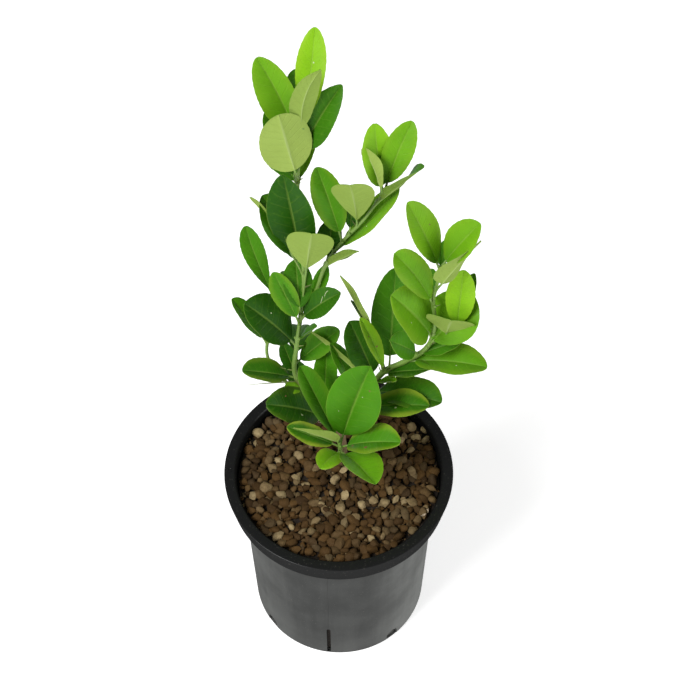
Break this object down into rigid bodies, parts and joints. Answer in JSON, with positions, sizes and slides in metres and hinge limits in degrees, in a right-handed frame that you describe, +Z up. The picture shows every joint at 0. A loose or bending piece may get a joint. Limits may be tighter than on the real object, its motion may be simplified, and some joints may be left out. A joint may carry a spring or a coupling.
{
  "type": "potted lemon tree",
  "caption": "Young lemon tree with a short trunk and several leafy shoots, planted in a round black nursery pot and mulched with gravel.",
  "frame": {"origin": "middle of the flat underside of the pot", "axes": "+Z up along the pot's axis, -Y towards the side that the picture shows, +X to that viewer's right"},
  "size_m": [0.183, 0.1835, 0.4923],
  "materials": {
    "black_pot_plastic": "satin black, a little dusty",
    "potting_mix": "rough, dark brown",
    "brown_gravel": "matt brown and tan grains",
    "bark": "tan-brown, finely cracked",
    "deep_green_leaf": "glossy above, matt below",
    "mid_green_leaf": "glossy above, matt below",
    "olive_green_leaf": "glossy above, matt below",
    "bright_green_leaf": "glossy above, matt below",
    "fresh_green_leaf": "glossy above, matt below"
  },
  "bodies": {
    "root": {"pot": "black_pot_plastic", "soil": "potting_mix", "gravel": "brown_gravel", "trunk": "bark", "tall_shoot": "deep_green_leaf", "second_shoot": "mid_green_leaf", "left_shoot": "olive_green_leaf", "right_shoot": "bright_green_leaf", "basal_shoot": "fresh_green_leaf"}
  },
  "joints": []
}
